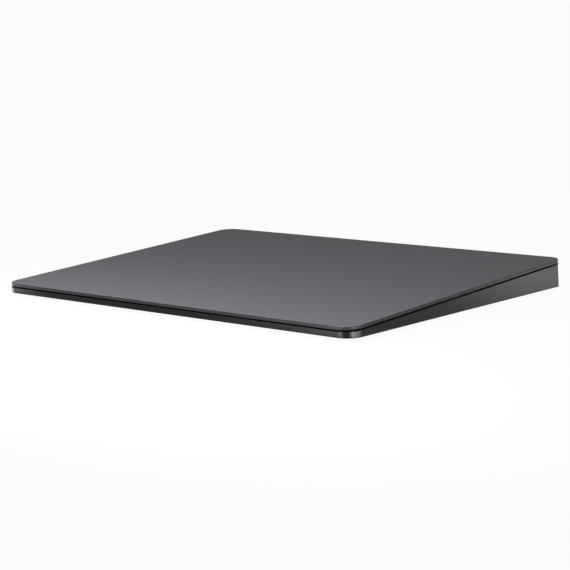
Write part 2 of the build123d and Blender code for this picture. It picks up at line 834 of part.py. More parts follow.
def rivet_places():
    """Stations of the rivets and their X."""
    x = pole_x + air_gap + attraction_thickness + attraction_flange / 2
    return [(x, attraction_station() + step * rivet_spacing) for step in (-1, 0, 1)]


def make_attraction_plate():
    """Angle under the pad: a flange on the stiffener and a blade in front of the poles."""
    low = tray_top + press_travel + clear_under
    blade = slab(Rectangle(attraction_thickness, core_depth), stiffener_bottom, case_reach,
                 attraction_station(), pole_x + air_gap + attraction_thickness / 2)
    angle = above_level(blade, low)
    flange_width = attraction_thickness + attraction_flange
    angle += slab(Rectangle(flange_width, core_depth), stiffener_bottom,
                  stiffener_bottom + attraction_flange_thickness, attraction_station(),
                  pole_x + air_gap + flange_width / 2)
    for x, station in rivet_places():
        angle -= slab(Circle(rivet_radius + screw_clearance), stiffener_bottom - cut_overrun,
                      case_reach, station, x)
    return angle


def make_attraction_rivets():
    """Rivets that hold the angle to the stiffener."""
    low = stiffener_bottom + attraction_flange_thickness
    return [slab(Circle(rivet_radius), sensor_bottom, low, station, x)
            + slab(Circle(rivet_head_radius), low, low + rivet_head_height, station, x)
            for x, station in rivet_places()]


# Touch plate

def make_glass_top():
    """Sheet of glass over the whole of the top, with a chamfered upper edge."""
    glass = slab(case_outline(glass_inset), 0, glass_thickness)
    upper = glass.faces().sort_by(Axis(origin=top_centre, direction=normal))[-1]
    return chamfer(upper.edges(), glass_chamfer)


def make_bonding_film():
    """Black film that bonds the sensor board to the glass and hides its edge."""
    return slab(case_outline(glass_inset + film_inset), glass_thickness, film_bottom)


def make_sensor_board():
    """Touch sensor board, over nearly the whole of the glass."""
    return slab(case_outline(case_wall + sensor_clearance), film_bottom, sensor_bottom)


def make_stiffener_plate():
    """Metal sheet under the sensor board, with a window for the touch electronics."""
    edge = case_wall + sensor_clearance
    width = pad_width - 2 * (edge + stiffener_side_gap)
    length = pad_length - 2 * (edge + stiffener_end_gap)
    sheet = slab(RectangleRounded(width, length, layer_radius), sensor_bottom, stiffener_bottom)
    window = Rectangle(touch_window_width, touch_window_length)
    sheet -= slab(window, sensor_bottom - cut_overrun, stiffener_bottom + cut_overrun,
                  station_at(touch_window_y, sensor_bottom))
    for x, station in rivet_places():
        sheet -= slab(Circle(rivet_radius + screw_clearance), sensor_bottom - cut_overrun,
                      stiffener_bottom + cut_overrun, station, x)
    return sheet


def make_touch_controller():
    """Touch controller chip in the stiffener's window."""
    station = station_at(touch_window_y, sensor_bottom) + part_gap
    return slab(Rectangle(touch_chip_side, touch_chip_side), sensor_bottom,
                sensor_bottom + touch_chip_height, station, touch_chip_side)


def make_touch_chips():
    """Row of small parts beside the touch controller."""
    pitch = touch_small_side + part_gap
    station = station_at(touch_window_y, sensor_bottom) + touch_chip_side / 2
    square = Rectangle(touch_small_side, touch_small_side)
    return [slab(square, sensor_bottom, sensor_bottom + touch_chip_height * half_share,
                 station - row * pitch, -pitch * (column + 1))
            for column in range(touch_small_columns) for row in range(touch_small_rows)]


def make_touch_connector():
    """Socket for the touch ribbon, on the underside of the sensor board."""
    socket = Rectangle(connector_length, connector_width)
    return slab(socket, sensor_bottom, sensor_bottom + touch_connector_height,
                station_at(touch_connector_y, sensor_bottom), touch_connector_x)


def make_touch_cable():
    """Flat ribbon folded between the main board's socket and the pad's."""
    half = ribbon_thickness / 2
    near_y = touch_connector_y - connector_width / 2
    far_y = touch_connector_y + connector_width / 2 + touch_ribbon_reach
    low = board_top + connector_height + half
    socket_face = sensor_bottom + touch_connector_height
    high_near = height_at(near_y, socket_face + half)
    high_far = height_at(far_y, socket_face + half)
    fold = FilletPolyline((near_y, low), (far_y, low), (far_y, high_far), (near_y, high_near),
                          radius=touch_ribbon_bend)
    strip = trace(fold, ribbon_thickness)
    side_x = touch_connector_x - touch_ribbon_width / 2
    side_plane = Plane(origin=(side_x, 0, 0), x_dir=(0, 1, 0), z_dir=(1, 0, 0))
    return extrude(side_plane * strip, touch_ribbon_width)


def write(name, shape):
    """Save one piece, or a group of separate pieces, under its name."""
    if isinstance(shape, list):
        shape = Compound(children=[solid for piece in shape for solid in piece.solids()])
    export_step(shape, f"parts/{name}.step")


def main():
    os.makedirs("parts", exist_ok=True)
    write("case_frame", make_case_frame())
    write("base_plate", make_base_plate())
    write("base_glue", make_base_glue())
    for name, (x, y) in foot_places().items():
        write(f"foot_{name}", make_foot(x, y))
    for name in CORNERS:
        write(f"flexure_{name}", make_flexure(name))
        write(f"gel_pad_{name}", make_gel_pad(name))
        write(f"isolator_cap_{name}", make_isolator_cap(name))
    write("flexure_screws", make_flexure_screws())
    write("strain_gauges", make_strain_gauges())
    write("gauge_cables", make_gauge_cables())
    write("battery_left", make_battery(-1))
    write("battery_right", make_battery(1))
    write("battery_glue", make_battery_glue())
    write("battery_boards", make_battery_boards())
    write("battery_leads", make_battery_leads())
    write("main_board", make_main_board())
    write("board_screws", make_board_screws())
    write("board_chips", make_board_chips())
    write("radio_shield", make_radio_shield())
    write("radio_chip", make_radio_chip())
    write("board_connectors", make_board_connectors())
    write("antenna_board", make_antenna_board())
    write("antenna_contact", make_antenna_contact())
    write("port_shell", make_port_shell())
    write("port_core", make_port_core())
    write("port_contacts", make_port_contacts())
    write("port_bracket", make_port_bracket())
    write("bracket_screws", make_bracket_screws())
    write("switch_bezel", make_switch_bezel())
    write("switch_indicator", make_switch_indicator())
    write("switch_body", make_switch_body())
    write("switch_cable", make_switch_cable())
    write("switch_slider", make_switch_slider())
    write("haptic_tray", make_haptic_tray())
    write("haptic_screws", make_haptic_screws())
    write("haptic_core", make_haptic_core())
    write("haptic_coil", make_haptic_coil())
    write("attraction_plate", make_attraction_plate())
    write("attraction_rivets", make_attraction_rivets())
    write("glass_top", make_glass_top())
    write("bonding_film", make_bonding_film())
    write("sensor_board", make_sensor_board())
    write("stiffener_plate", make_stiffener_plate())
    write("touch_controller", make_touch_controller())
    write("touch_chips", make_touch_chips())
    write("touch_connector", make_touch_connector())
    write("touch_cable", make_touch_cable())


if __name__ == "__main__":
    main()
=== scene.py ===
"""Looks of a glass-topped, wedge-shaped desk trackpad, in a small photo studio.

Laid out as an add-on, and run as a script. Lengths are in metres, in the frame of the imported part:
+Z up, +X to the user's right, +Y away from the user.
"""
import json
import math

import bmesh
import bpy
from mathutils import Matrix, Vector

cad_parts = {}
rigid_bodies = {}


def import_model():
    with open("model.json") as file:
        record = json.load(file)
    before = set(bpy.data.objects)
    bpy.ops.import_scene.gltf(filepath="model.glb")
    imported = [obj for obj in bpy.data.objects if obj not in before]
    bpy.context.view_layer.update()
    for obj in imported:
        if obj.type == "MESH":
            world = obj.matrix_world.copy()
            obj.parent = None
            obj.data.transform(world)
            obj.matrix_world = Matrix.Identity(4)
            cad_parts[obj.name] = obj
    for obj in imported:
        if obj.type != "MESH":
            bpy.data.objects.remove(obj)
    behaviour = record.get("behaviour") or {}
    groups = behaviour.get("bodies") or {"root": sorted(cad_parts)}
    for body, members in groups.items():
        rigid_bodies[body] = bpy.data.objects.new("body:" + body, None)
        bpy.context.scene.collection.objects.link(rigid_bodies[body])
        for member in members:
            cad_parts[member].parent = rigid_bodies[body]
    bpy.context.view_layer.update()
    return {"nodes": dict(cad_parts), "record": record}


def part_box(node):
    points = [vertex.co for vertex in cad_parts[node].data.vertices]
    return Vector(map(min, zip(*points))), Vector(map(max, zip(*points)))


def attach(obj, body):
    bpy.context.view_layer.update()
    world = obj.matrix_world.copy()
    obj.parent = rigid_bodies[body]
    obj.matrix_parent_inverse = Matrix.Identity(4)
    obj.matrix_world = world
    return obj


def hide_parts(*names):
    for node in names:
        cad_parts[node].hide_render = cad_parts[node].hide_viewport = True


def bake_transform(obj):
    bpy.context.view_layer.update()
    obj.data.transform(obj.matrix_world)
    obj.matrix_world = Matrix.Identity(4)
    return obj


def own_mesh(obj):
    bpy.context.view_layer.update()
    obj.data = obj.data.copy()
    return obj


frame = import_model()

bl_info = {
    "name": "Desk Trackpad",
    "version": (1, 0, 0),
    "blender": (4, 5, 0),
    "location": "View3D > Sidebar > Trackpad",
    "description": "Dresses the packed trackpad and sets it in a small photo studio",
    "category": "Object",
}

MM = 0.001

# Overall form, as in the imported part
PAD_WIDTH = 160 * MM
CASE_DEPTH = 114.9 * MM
FRONT_HEIGHT = 4.9 * MM
REAR_HEIGHT = 10.9 * MM
STANDOFF = 1.4 * MM
WALL_HEIGHT = REAR_HEIGHT - STANDOFF
RISE = REAR_HEIGHT - FRONT_HEIGHT
SLOPE = (CASE_DEPTH - math.sqrt(CASE_DEPTH**2 - 4 * WALL_HEIGHT * RISE)) / (2 * WALL_HEIGHT)
TILT = math.atan(SLOPE)
PAD_LENGTH = RISE / math.sin(TILT)
MEAN_HEIGHT = (FRONT_HEIGHT + REAR_HEIGHT) / 2
TOP_CENTRE = Vector((0, (PAD_LENGTH * math.cos(TILT) - CASE_DEPTH) / 2, MEAN_HEIGHT))

RIGHT = Vector((1, 0, 0))
AWAY = Vector((0, 1, 0))
UP = Vector((0, 0, 1))
ALONG = Vector((0, math.cos(TILT), math.sin(TILT)))
NORMAL = Vector((0, -math.sin(TILT), math.cos(TILT)))

# Case
OVERRUN = 1 * MM                # how far the raw block runs past the underside
CASE_WALL = 2.4 * MM
CUT_LENGTH = 4 * CASE_WALL      # of the shapes that cut through a wall
RIM_DEPTH = 1.5 * MM            # from the top face down to the rim
RIM_LIP = 0.8 * MM
RIM_STEP = 0.5 * MM
RIM_STEPS = 3
SEAT_INSET = 1.2 * MM
SEAT_DEPTH = 0.9 * MM
CORNER_STEPS = 16
LOWER_EDGE_STEPS = 4
MOUTH_EDGE = 0.12 * MM
MOUTH_STEPS = 3

# Glass
GLASS_THICKNESS = 1.05 * MM
GLASS_INSET = 0.1 * MM
GLASS_EDGE_STEPS = 5
GLASS_UNDER_EDGE = 0.06 * MM
GLASS_UNDER_STEPS = 2
GLASS_SHADE_FROM = 0.8           # faces that look up less than this show the glass's rounded edge, whose darker finish is painted shade
GLASS_SIDE_FROM = 0.2           # and less than this, its upright side, whose dark finish is partly the clear side's own colour and partly painted shade

# Feet
ROUND_STEPS = 64                # sides of the feet and of the gel cushions
FOOT_RADIUS = 4.5 * MM
FOOT_HEIGHT = 1.9 * MM
FOOT_SIDE_DISTANCE = 14 * MM
FOOT_END_DISTANCE = 13.5 * MM
FOOT_RING = 0.9 * MM
FOOT_DISH = 0.12 * MM
FOOT_EDGE_STEPS = 5

# Gel cushions and flat ribbons
GEL_RADIUS = 3 * MM
GEL_THICKNESS = 0.5 * MM
GEL_EDGE = 0.14 * MM
GEL_EDGE_STEPS = 4
FLAT_WIDTH = 2.4 * MM
FLAT_THICKNESS = 0.15 * MM
PLATE_TOP = 2.2 * MM
BOARD_UNDERSIDE = 3.2 * MM
# Middle line of the right front gauge's ribbon seen from above: start, turn, entry and end
GAUGE_ROUTE = ((24.5 * MM, -33.11 * MM), (24.5 * MM, 3.4 * MM),
               (14.2 * MM, 3.4 * MM), (14.2 * MM, 13 * MM))

# Charging port
PORT_WALL = 0.3 * MM
PORT_CLEARANCE = 0.1 * MM
PORT_EDGE = 0.09 * MM
PORT_EDGE_STEPS = 3
OVAL_STEPS = 14
ROUND_SHARE = 0.998             # of the half height, before the ends' last edges are merged
MERGE_DISTANCE = 0.02 * MM
RIBBON_MERGE = 0.002 * MM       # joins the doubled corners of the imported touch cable

# Power switch
SWITCH_X = -52 * MM
SWITCH_DEPTH = (RIM_DEPTH + WALL_HEIGHT) / 2
BEZEL_WIDTH = 10.9 * MM
BEZEL_HEIGHT = 4.3 * MM
BEZEL_GAP = 0.05 * MM
BEZEL_SET_BACK = 0.1 * MM
BEZEL_EDGE = 0.1 * MM
BEZEL_STEPS = 3
FLANGE_WIDTH = 13.8 * MM
FLANGE_HEIGHT = 5.2 * MM
FLANGE_THICKNESS = 0.6 * MM
RECESS_RIM = 0.45 * MM
RECESS_DEPTH = 1.3 * MM
SLOT_WIDTH = 4.64 * MM
SLOT_HEIGHT = 1.44 * MM
SLIDER_NEAR = 0.25 * MM
SLIDER_FAR = 1.08 * MM
SLIDER_WIDTH = 6.76 * MM
SLIDER_HEIGHT = 3.16 * MM
SLIDER_SHIFT = 1.5 * MM
SLIDER_EDGE = 0.15 * MM
SLIDER_STEPS = 4
GROOVE_COUNT = 3
GROOVE_WIDTH = 0.35 * MM
GROOVE_DEPTH = 0.2 * MM
GROOVE_HEIGHT = 1.58 * MM
LEVER_WIDTH = 1.4 * MM
LEVER_HEIGHT = 1.2 * MM
LEVER_REACH = 4.2 * MM

# Directions count as the same when their dot product is over this
SAME_WAY = 0.9995
SMOOTH_ANGLE = math.radians(32)

# Finish of each slot. Patch and grain are in millimetres, and three colours are the user's to change
FINISHES = {
    "anodised_case": {"rough": 0.3, "metal": 1.0, "mottle": 0.03, "patch": 6.0, "grain": 0.07,
                      "relief": 0.04, "uneven": 0.012},
    "dark_glass": {"rough": 0.5, "specular": 0.15, "mottle": 0.015, "patch": 25.0, "grain": 0.05,
                   "relief": 0.04},
    # The upright side's dark colour is partly the clear glass side's own and partly painted shade
    # against the front lamp's light
    "glass_side": {"colour": (0.014, 0.014, 0.016), "rough": 0.3, "specular": 0.085, "mottle": 0.05,
                   "patch": 10.0, "grain": 0.05, "relief": 0.03},
    # The rounded edge is far darker than the top: painted shade, against the key softbox's light on it
    "glass_edge": {"colour": (0.008, 0.008, 0.01), "rough": 0.35, "specular": 0.04, "mottle": 0.05,
                   "patch": 10.0, "grain": 0.05, "relief": 0.03},
    "foot_rubber": {"colour": (0.05, 0.05, 0.053), "rough": 0.75, "specular": 0.3, "mottle": 0.15,
                    "patch": 1.2, "grain": 0.12, "relief": 0.4},
    # The film's near black is its own colour as a light-blocking film, and also painted shade in the gap
    # under the glass
    "black_film": {"colour": (0.012, 0.012, 0.013), "rough": 0.6, "specular": 0.2},
    "glue": {"colour": (0.05, 0.05, 0.05), "rough": 0.55, "patch": 1.5, "grain": 0.2},
    "spring_steel": {"colour": (0.55, 0.55, 0.56), "rough": 0.28, "metal": 1.0, "stretch": (1, 12, 1)},
    "screw_steel": {"colour": (0.4, 0.4, 0.42), "rough": 0.3, "metal": 1.0, "patch": 0.6},
    "gel": {"colour": (0.3, 0.36, 0.42), "rough": 0.3, "patch": 1.0, "mottle": 0.15},
    "chip_plastic": {"colour": (0.03, 0.03, 0.032), "rough": 0.55, "patch": 0.8, "grain": 0.08,
                     "relief": 0.3},
    "connector_plastic": {"colour": (0.55, 0.52, 0.45), "rough": 0.5, "patch": 0.8},
    "shield_metal": {"colour": (0.6, 0.6, 0.6), "rough": 0.35, "metal": 1.0, "stretch": (10, 1, 1)},
    "port_metal": {"colour": (0.3, 0.3, 0.305), "rough": 0.3, "metal": 1.0, "patch": 1.0,
                   "stretch": (1, 8, 1)},
    "contact_gold": {"colour": (0.85, 0.6, 0.25), "rough": 0.25, "metal": 1.0, "patch": 0.5},
    "cell_wrap": {"colour": (0.4, 0.41, 0.43), "rough": 0.35, "metal": 0.6, "patch": 5.0, "grain": 1.5,
                  "relief": 0.3},
    "switch_plastic": {"colour": (0.05, 0.05, 0.053), "rough": 0.45, "patch": 0.8, "grain": 0.09,
                       "relief": 0.3},
    "indicator_green": {"rough": 0.4, "patch": 0.5, "mottle": 0.12},
    "core_iron": {"colour": (0.16, 0.16, 0.17), "rough": 0.5, "metal": 0.8, "stretch": (1, 1, 20)},
    "stiffener_metal": {"colour": (0.62, 0.62, 0.63), "rough": 0.32, "metal": 1.0, "stretch": (8, 1, 1)},
    "ribbon": {"colour": (0.35, 0.2, 0.06), "rough": 0.4},
    "coil_copper": {"colour": (0.6, 0.3, 0.16), "rough": 0.3, "metal": 1.0},
    "circuit_board": {"colour": (0.02, 0.07, 0.045), "rough": 0.4},
    # Near-black finish of the sensor board: painted shade for the gap under the glass
    "sensor_mask": {"colour": (0.01, 0.01, 0.011), "rough": 0.5},
}
# Stripes that follow each other along X: their distance in millimetres, and their two colours
STRIPES = {
    "ribbon": (0.5, (0.25, 0.13, 0.03), (0.5, 0.28, 0.09)),
    "coil_copper": (0.12, (0.35, 0.15, 0.07), (0.75, 0.4, 0.2)),
}
# Tracks: colour of the board and of the tracks
TRACKS = {
    "circuit_board": ((0.015, 0.06, 0.035), (0.06, 0.16, 0.1)),
    "sensor_mask": ((0.009, 0.009, 0.01), (0.016, 0.016, 0.017)),
}
TRACK_CELL = 6 * MM
TRACK_WIDTH = 0.016             # this and the next two are shares of a cell
TRACK_LENGTH = 1.7
TRACK_PITCH = 0.1
TRACK_BLUR = 0.1                # of the tracks' edges, from 0 to 1
TRACK_SHIFT = 0.37              # from one row to the next, as a share of the length
TRACK_TONES = {"Color1": (0, 0, 0, 1), "Color2": (0.2, 0.2, 0.2, 1), "Mortar": (1, 1, 1, 1)}
WAVE_UNIT = math.pi / 10        # scale at which a wave texture has one stripe per metre
PATCH_DETAIL = 3.0
GRAIN_DETAIL = 2.0
GRAIN_RISE = 0.25               # height of the grain, as a share of its width
MIX_FROM = 6                    # this and the next two are the colour sockets of a mix node
MIX_TO = 7
MIX_RESULT = 2

# Camera, fitted to the photograph
CAMERA_PLACE = Vector((400.4 * MM, -437.2 * MM, 100.3 * MM))
CAMERA_AZIMUTH = math.radians(42.31)
CAMERA_ELEVATION = math.radians(9.37)
CAMERA_ROLL = math.radians(-1.82)
FOCAL_PIXELS = 1720.1
IMAGE_PIXELS = 570
HALF_PIXEL = 0.5 / IMAGE_PIXELS
SENSOR_WIDTH = 36               # millimetres
CLIP_START = 10 * MM

# Lamps: name, place, point it faces, width and height in millimetres, and power in watts
SOFT_LAMPS = (
    ("key_softbox", (0, -187, 172), (0, -57, 4), 340, 60, 0.12),
    ("front_softbox", (0, -150, 80), (0, -57, 4), 300, 40, 0.42),
    ("rear_softbox", (140, 320, 70), (0, 57, 6), 300, 80, 0.3),
)
# Strips below the floor, where a polished floor would mirror real ones
STRIPS = (
    ("front_strip", (-30, -166, -21), (58, -57, 3), 40, 20, 0.014),
    ("front_left_strip", (-102, -78, -2), (-80, -57, 3), 14, 6, 0.0021),
    ("front_right_strip", (54, -82, -2), (76, -57, 3), 14, 6, 0.001),
    ("left_corner_strip", (-138, -68, -6), (-80, -55, 3), 14, 8, 0.0058),
    ("near_corner_wide_strip", (-6, -230, -29), (78, -57, 3), 60, 20, 0.12),
    ("near_corner_strip", (36, -246, -29), (78, -57, 3), 30, 20, 0.19),
    ("corner_front_strip", (255, -125, -30), (78, -57, 3), 86, 20, 0.4),
    ("corner_middle_strip", (268, -47, -30), (78, -57, 3), 73, 20, 0.15),
    ("corner_rear_strip", (252, 20, -30), (78, -57, 3), 66, 20, 0.085),
    ("right_strip", (160, 152, -14), (80, 57, 6), 50, 20, 0.0185),
    ("left_strip", (-160, 152, -14), (-80, 57, 6), 50, 20, 0.023),
    ("rear_strip", (0, 157, -17), (0, 57, 6), 156, 25, 0.064),
)
WORLD_LIGHT = 0.25
WHITE_SHARE = 0.95              # of the floor's white that doesn't depend on the lamps
STAGE_RADIUS = 3.0
STAGE_HEIGHT = 0.3
STAGE_STEPS = 96
STAGE_COVE = 0.2
COVE_STEPS = 8
COVE_FOLD = math.radians(60)    # edges of the floor that fold more than this become the cove
STAGE_DROP = 0.02 * MM          # keeps the floor clear of the feet's undersides


# Modelling

def settings():
    """The values that a user may change."""
    return bpy.context.scene.trackpad


def start_fresh():
    """Leave edit mode and deselect everything."""
    if bpy.context.mode != "OBJECT":
        bpy.ops.object.mode_set(mode="OBJECT")
    bpy.ops.object.select_all(action="DESELECT")


def only(obj):
    """Deselect everything but one object, and make it the active one."""
    start_fresh()
    obj.select_set(True)
    bpy.context.view_layer.objects.active = obj


def settle(obj):
    """Move an object's place, turn and scale into its mesh."""
    only(obj)
    bpy.ops.object.transform_apply(location=True, rotation=True, scale=True)


def block(name, size, middle):
    """Start a piece as a block about a middle."""
    start_fresh()
    bpy.ops.mesh.primitive_cube_add(size=1, location=middle)
    obj = bpy.context.object
    obj.name = name
    obj.data.name = name
    obj.scale = size
    settle(obj)
    return obj


def lay_on_slope(obj):
    """Bring a piece from the flat plane of the pad to its slope."""
    obj.rotation_euler = (TILT, 0, 0)
    obj.location = TOP_CENTRE
    settle(obj)


def pick(obj, kind, test):
    """Select the edges or faces that pass a test, and leave the piece in edit mode."""
    only(obj)
    bpy.ops.object.mode_set(mode="EDIT")
    bpy.ops.mesh.select_mode(type=kind)
    bpy.ops.mesh.select_all(action="DESELECT")
    shape = bmesh.from_edit_mesh(obj.data)
    shape.normal_update()
    found = [item for item in (shape.edges if kind == "EDGE" else shape.faces) if test(item)]
    if not found:
        raise RuntimeError(f"nothing to select on {obj.name}")
    for item in found:
        item.select_set(True)
    bmesh.update_edit_mesh(obj.data)


def facing(direction):
    """Test for faces that look one way."""
    return lambda face: face.normal.dot(direction) > SAME_WAY


def facing_at(direction, place, reach):
    """Test for faces that look one way and have their middle near a place."""
    look = facing(direction)
    return lambda face: look(face) and (face.calc_center_median() - place).length < reach


def running(direction):
    """Test for edges that run one way or its opposite."""
    return lambda edge: abs((edge.verts[1].co - edge.verts[0].co).normalized().dot(direction)) > SAME_WAY


def rim_of(direction):
    """Test for edges round the faces that look one way."""
    look = facing(direction)
    return lambda edge: sum(look(face) for face in edge.link_faces) == 1


def bevel(width, steps):
    """Bevel the selected edges."""
    bpy.ops.mesh.bevel(offset=width, segments=steps, affect="EDGES", clamp_overlap=False)


def round_corners(obj, direction, radius, steps):
    """Round the edges that run one way."""
    pick(obj, "EDGE", running(direction))
    bevel(radius, steps)


def soften(obj, direction, width, steps):
    """Round the rim of the faces that look one way."""
    pick(obj, "EDGE", rim_of(direction))
    bevel(width, steps)


def inset(thickness):
    """Inset the selected faces."""
    bpy.ops.mesh.inset(thickness=thickness, depth=0, use_even_offset=True)


def push(move):
    """Extrude the selected faces by a move."""
    bpy.ops.mesh.extrude_region_move(TRANSFORM_OT_translate={"value": tuple(move)})


def join_openings(obj):
    """Bridge the two open rims of a piece, and turn all its faces outwards."""
    pick(obj, "EDGE", lambda edge: edge.is_boundary)
    bpy.ops.mesh.bridge_edge_loops()
    bpy.ops.mesh.select_all(action="SELECT")
    bpy.ops.mesh.normals_make_consistent(inside=False)


def combine(obj, other, operation):
    """Cut another shape out of a piece, or add it, and drop the other shape."""
    only(obj)
    modifier = obj.modifiers.new("combine", "BOOLEAN")
    modifier.operation = operation
    modifier.solver = "EXACT"
    modifier.object = other
    bpy.ops.object.modifier_apply(modifier=modifier.name)
    bpy.data.meshes.remove(other.data)


def oval_block(name, size, middle):
    """Block with half-round ends, its axis away from the user."""
    obj = block(name, size, middle)
    round_corners(obj, AWAY, size[2] / 2 * ROUND_SHARE, OVAL_STEPS)
    bpy.ops.mesh.select_all(action="SELECT")
    bpy.ops.mesh.remove_doubles(threshold=MERGE_DISTANCE)
    bpy.ops.object.mode_set(mode="OBJECT")
    return obj


def copy_to(obj, name, place):
    """Copy of a piece with a mesh of its own, moved to a place."""
    copy = bpy.data.objects.new(name, obj.data.copy())
    bpy.context.scene.collection.objects.link(copy)
    copy.data.name = name
    copy.data.transform(Matrix.Translation(place))
    return copy


def complete(obj, slot, body, *nodes):
    """Finish a piece: smooth shading, its finish, its body if it has only one, and its nodes."""
    only(obj)
    bpy.ops.object.shade_smooth_by_angle(angle=SMOOTH_ANGLE)
    modifier = obj.modifiers.new("flat_faces", "WEIGHTED_NORMAL")
    modifier.keep_sharp = True
    bpy.ops.object.modifier_apply(modifier=modifier.name)
    obj.data.materials.clear()
    obj.data.materials.append(bpy.data.materials[slot])
    if body:
        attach(obj, body)
    if nodes:
        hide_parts(*nodes)


# Finishes

class Finish:
    """A material under construction: a principled shader and the nodes that feed it."""

    def __init__(self, name):
        self.material = bpy.data.materials.new(name)
        self.material.use_nodes = True
        self.tree = self.material.node_tree
        self.tree.nodes.clear()
        self.shader = self.node("ShaderNodeBsdfPrincipled")
        output = self.node("ShaderNodeOutputMaterial")
        self.link(self.shader.outputs["BSDF"], output.inputs["Surface"])
        self.place = self.node("ShaderNodeTexCoord").outputs["Object"]

    def node(self, kind, **values):
        """Add a node and set its sockets by name."""
        node = self.tree.nodes.new(kind)
        for name, value in values.items():
            node.inputs[name.replace("_", " ")].default_value = value
        return node

    def link(self, start, end):
        """Join an output to an input."""
        self.tree.links.new(start, end)

    def noise(self, size, detail, stretch):
        """Cloudy pattern whose patches have a size in metres, stretched along the axes."""
        turn = self.node("ShaderNodeMapping", Scale=stretch)
        cloud = self.node("ShaderNodeTexNoise", Scale=1 / size, Detail=detail)
        self.link(self.place, turn.inputs["Vector"])
        self.link(turn.outputs["Vector"], cloud.inputs["Vector"])
        return cloud.outputs["Fac"]

    def tint(self, pattern, colour, other):
        """Colour that goes between two as a pattern does."""
        mix = self.tree.nodes.new("ShaderNodeMix")
        mix.data_type = "RGBA"
        mix.inputs[MIX_FROM].default_value = (*colour, 1)
        mix.inputs[MIX_TO].default_value = (*other, 1)
        self.link(pattern, mix.inputs["Factor"])
        self.link(mix.outputs[MIX_RESULT], self.shader.inputs["Base Color"])

    def gloss(self, pattern, low, high):
        """Roughness that goes between two values as a pattern does."""
        span = self.node("ShaderNodeMapRange")
        span.inputs["To Min"].default_value = low
        span.inputs["To Max"].default_value = high
        self.link(pattern, span.inputs["Value"])
        self.link(span.outputs["Result"], self.shader.inputs["Roughness"])

    def relief(self, pattern, strength, height):
        """Bump of a height in metres."""
        bump = self.node("ShaderNodeBump", Strength=strength, Distance=height)
        self.link(pattern, bump.inputs["Height"])
        self.link(bump.outputs["Normal"], self.shader.inputs["Normal"])


def scaled(colour, share):
    """A colour made lighter or darker."""
    return tuple(min(1.0, part * share) for part in colour)


def make_finish(slot, colour, rough, metal=0.0, specular=0.5, mottle=0.08, patch=3.0, grain=0.06,
                relief=0.15, uneven=0.04, stretch=(1, 1, 1)):
    """Finish of one slot: mottled colour, uneven gloss and a fine grain."""
    finish = Finish(slot)
    shader = finish.shader
    shader.inputs["Metallic"].default_value = metal
    shader.inputs["Specular IOR Level"].default_value = specular
    patches = finish.noise(patch * MM, PATCH_DETAIL, stretch)
    fine = finish.noise(grain * MM, GRAIN_DETAIL, stretch)
    finish.tint(patches, scaled(colour, 1 - mottle), scaled(colour, 1 + mottle))
    finish.gloss(patches, rough - uneven, rough + uneven)
    finish.relief(fine, relief, grain * MM * GRAIN_RISE)
    return finish


def add_stripes(finish, pitch, colour, other):
    """Colour in stripes along X, for windings and the tracks of flat cables."""
    wave = finish.node("ShaderNodeTexWave", Scale=WAVE_UNIT / (pitch * MM), Distortion=0.0)
    wave.bands_direction = "X"
    finish.link(finish.place, wave.inputs["Vector"])
    finish.tint(wave.outputs["Fac"], colour, other)


def add_tracks(finish, colour, other):
    """Fine right-angled tracks on a circuit board."""
    cells = finish.node("ShaderNodeTexBrick", Scale=1 / TRACK_CELL, Mortar_Size=TRACK_WIDTH,
                        Mortar_Smooth=TRACK_BLUR, Brick_Width=TRACK_LENGTH, Row_Height=TRACK_PITCH,
                        **TRACK_TONES)
    cells.offset = TRACK_SHIFT
    finish.link(finish.place, cells.inputs["Vector"])
    finish.tint(cells.outputs["Color"], colour, other)


class TRACKPAD_OT_finishes(bpy.types.Operator):
    """Make the finishes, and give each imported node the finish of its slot"""

    bl_idname = "trackpad.finishes"
    bl_label = "Finishes"

    def execute(self, context):
        values = settings()
        for plain in list(bpy.data.materials):
            bpy.data.materials.remove(plain)
        chosen = {"anodised_case": values.case_colour, "dark_glass": values.glass_colour,
                  "indicator_green": values.indicator_colour}
        finishes = {}
        for slot, look in FINISHES.items():
            own = {"colour": tuple(chosen[slot])} if slot in chosen else {}
            finishes[slot] = make_finish(slot, **look, **own)
        for slot, stripes in STRIPES.items():
            add_stripes(finishes[slot], *stripes)
        for slot, colours in TRACKS.items():
            add_tracks(finishes[slot], *colours)
        for part in frame["record"]["subparts"]:
            node = frame["nodes"][part["node"]]
            node.data.materials.clear()
            node.data.materials.append(bpy.data.materials[part["material_slot"]])
        # The sensor board can be seen in the gap under the glass, so it is made near black: painted
        # shade in the gap
        frame["nodes"]["sensor_board"].data.materials[0] = finishes["sensor_mask"].material
        return {"FINISHED"}


# Case

def open_top(shell, edge):
    """Inset the top into a rim, step it down to the ledge and open the middle."""
    pick(shell, "FACE", facing(NORMAL))
    inset(RIM_LIP - edge)
    push(-NORMAL * RIM_STEP)
    inset(CASE_WALL - RIM_LIP)
    bpy.ops.mesh.delete(type="FACE")


def open_underside(shell, edge):
    """Inset the underside into the seat of the base plate and open the middle."""
    pick(shell, "FACE", facing(-UP))
    inset(SEAT_INSET - edge)
    push(UP * SEAT_DEPTH)
    inset(CASE_WALL - SEAT_INSET)
    bpy.ops.mesh.delete(type="FACE")


def soften_mouth(shell, middle, width, height):
    """Round the outer edge of an opening in the rear wall."""
    look = facing(ALONG)

    def at_mouth(edge):
        near = all(abs(vert.co.x - middle.x) < width / 2 + MOUTH_EDGE
                   and abs(vert.co.z - middle.z) < height / 2 + MOUTH_EDGE for vert in edge.verts)
        return near and sum(look(face) for face in edge.link_faces) == 1

    pick(shell, "EDGE", at_mouth)
    bevel(MOUTH_EDGE, MOUTH_STEPS)


def port_opening():
    """Middle, width and height of the opening for the charging port."""
    low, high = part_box("port_shell")
    grow = 2 * PORT_CLEARANCE
    return (low + high) / 2, high.x - low.x + grow, high.z - low.z + grow


